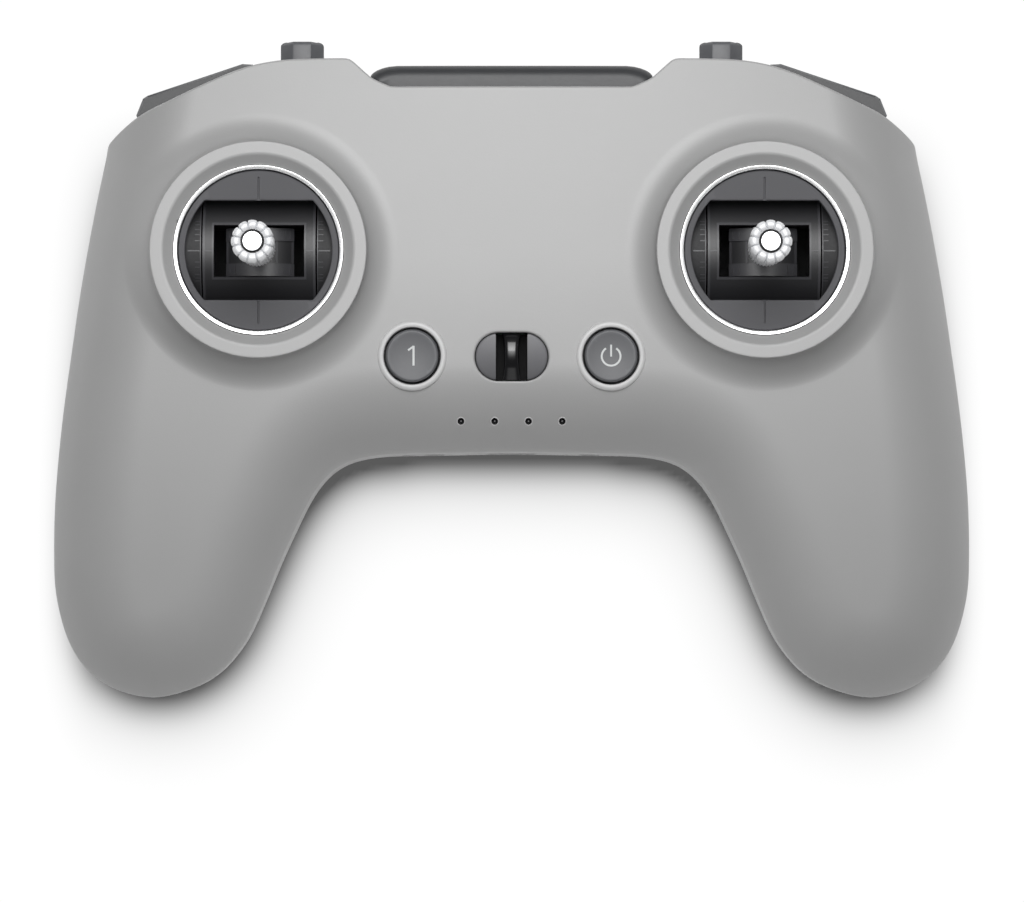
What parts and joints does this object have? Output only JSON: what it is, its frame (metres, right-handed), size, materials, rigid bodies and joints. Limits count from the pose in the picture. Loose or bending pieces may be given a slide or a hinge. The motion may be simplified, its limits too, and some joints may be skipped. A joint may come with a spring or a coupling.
{
  "type": "radio transmitter controller",
  "caption": "Gamepad-style radio transmitter with two gimbal sticks, face buttons, shoulder controls, toggle levers and a lanyard bar, lying on its back.",
  "frame": {"origin": "centre of the bounding box in X and Y, on the table plane under the back", "axes": "+Z out of the front face (the sticks), +X to the user's right hand, +Y towards the antenna edge"},
  "size_m": [0.1652, 0.1178, 0.062],
  "materials": {
    "shell_grey": "fine matte moulding texture",
    "dark_plastic": "satin dark grey",
    "gloss_black": "gloss",
    "frame_black": "matte",
    "gimbal_cover_grey": "satin",
    "bright_trim": "turned, bright",
    "drum_black": "semi-gloss",
    "steel": "plain",
    "magnet": "plated",
    "stick_metal": "satin anodised",
    "pcb": "solder mask",
    "toggle_grey": "satin",
    "button_dark": "satin",
    "wheel_rubber": "matte",
    "switch_metal": "stamped",
    "light_guide": "clear moulded",
    "tin_can": "tinned",
    "chip_black": "matte",
    "usb_metal": "satin",
    "battery_wrap": "shrink wrap",
    "cable_black": "matte"
  },
  "bodies": {
    "housing": {"front_shell": "shell_grey", "rear_shell": "shell_grey", "antenna_cover": "dark_plastic", "shoulder_bezel_left": "dark_plastic", "shoulder_bezel_right": "dark_plastic", "lanyard_insert": "dark_plastic", "lanyard_bar": "gloss_black", "gimbal_frame_left": "frame_black", "toggle_housing_left": "frame_black", "gimbal_cover_left": "gimbal_cover_grey", "trim_ring_left": "bright_trim", "toggle_pin_left": "steel", "hall_board_left": "pcb", "gimbal_frame_right": "frame_black", "toggle_housing_right": "frame_black", "gimbal_cover_right": "gimbal_cover_grey", "trim_ring_right": "bright_trim", "toggle_pin_right": "steel", "hall_board_right": "pcb", "gimbal_screws": "steel", "board_screws": "steel", "case_screws": "steel", "return_springs": "steel", "screw_plugs": "wheel_rubber", "button_board": "pcb", "main_board": "pcb", "usb_board": "pcb", "antenna_boards": "pcb", "tact_switches": "switch_metal", "pause_switch": "switch_metal", "shutter_switch": "switch_metal", "led_light_guide": "light_guide", "shield_can": "tin_can", "board_chips": "chip_black", "buzzer": "chip_black", "usb_receptacle": "usb_metal", "battery_pack": "battery_wrap", "battery_cable": "cable_black", "antenna_coax": "cable_black"},
    "pitch_yoke_left": {"gimbal_yoke_left": "drum_black", "carrier_pin_left": "steel", "sensor_magnets_left": "magnet"},
    "stick_left": {"gimbal_carrier_left": "drum_black", "stick_shaft_left": "stick_metal", "stick_nut_left": "stick_metal", "stick_knob_left": "stick_metal"},
    "pitch_yoke_right": {"gimbal_yoke_right": "drum_black", "carrier_pin_right": "steel", "sensor_magnets_right": "magnet"},
    "stick_right": {"gimbal_carrier_right": "drum_black", "stick_shaft_right": "stick_metal", "stick_nut_right": "stick_metal", "stick_knob_right": "stick_metal"},
    "custom_key": {"custom_button": "button_dark"},
    "power_key": {"power_button": "button_dark"},
    "toggle_left": {"toggle_lever_left": "toggle_grey"},
    "toggle_right": {"toggle_lever_right": "toggle_grey"},
    "dial": {"gimbal_dial": "wheel_rubber"},
    "pause_key": {"pause_button": "button_dark"},
    "shutter_key": {"shutter_button": "button_dark"}
  },
  "joints": [
    {"name": "left_stick_pitch", "type": "hinge", "parent": "housing", "child": "pitch_yoke_left", "pos_m": [-0.0447, 0.02055, 0.0255], "axis": [1, 0, 0], "range_deg": [-22, 22], "stiffness_Nm_per_rad": 0.02},
    {"name": "left_stick_roll", "type": "hinge", "parent": "pitch_yoke_left", "child": "stick_left", "pos_m": [-0.0447, 0.02055, 0.0255], "axis": [0, 1, 0], "range_deg": [-22, 22], "stiffness_Nm_per_rad": 0.02},
    {"name": "right_stick_pitch", "type": "hinge", "parent": "housing", "child": "pitch_yoke_right", "pos_m": [0.0447, 0.02055, 0.0255], "axis": [1, 0, 0], "range_deg": [-22, 22], "stiffness_Nm_per_rad": 0.02},
    {"name": "right_stick_roll", "type": "hinge", "parent": "pitch_yoke_right", "child": "stick_right", "pos_m": [0.0447, 0.02055, 0.0255], "axis": [0, 1, 0], "range_deg": [-22, 22], "stiffness_Nm_per_rad": 0.02},
    {"name": "custom_press", "type": "slide", "parent": "housing", "child": "custom_key", "axis": [0, 0, -1], "range_m": [0, 0.0009], "stiffness_N_per_m": 600},
    {"name": "power_press", "type": "slide", "parent": "housing", "child": "power_key", "axis": [0, 0, -1], "range_m": [0, 0.0009], "stiffness_N_per_m": 600},
    {"name": "left_toggle_flip", "type": "hinge", "parent": "housing", "child": "toggle_left", "pos_m": [-0.03755, 0.0465, 0.0262], "axis": [1, 0, 0], "range_deg": [-15, 15], "stiffness_Nm_per_rad": 0.01},
    {"name": "right_toggle_flip", "type": "hinge", "parent": "housing", "child": "toggle_right", "pos_m": [0.03755, 0.0465, 0.0262], "axis": [1, 0, 0], "range_deg": [-15, 15], "stiffness_Nm_per_rad": 0.01},
    {"name": "gimbal_dial_turn", "type": "hinge", "parent": "housing", "child": "dial", "pos_m": [-0.05752, 0.0449, 0.02], "axis": [0, 0, 1], "range_deg": [-30, 30], "stiffness_Nm_per_rad": 0.005},
    {"name": "pause_press", "type": "slide", "parent": "housing", "child": "pause_key", "axis": [0.3189, -0.9478, 0], "range_m": [0, 0.0009], "stiffness_N_per_m": 600},
    {"name": "shutter_press", "type": "slide", "parent": "housing", "child": "shutter_key", "axis": [-0.3189, -0.9478, 0], "range_m": [0, 0.0012], "stiffness_N_per_m": 600}
  ]
}
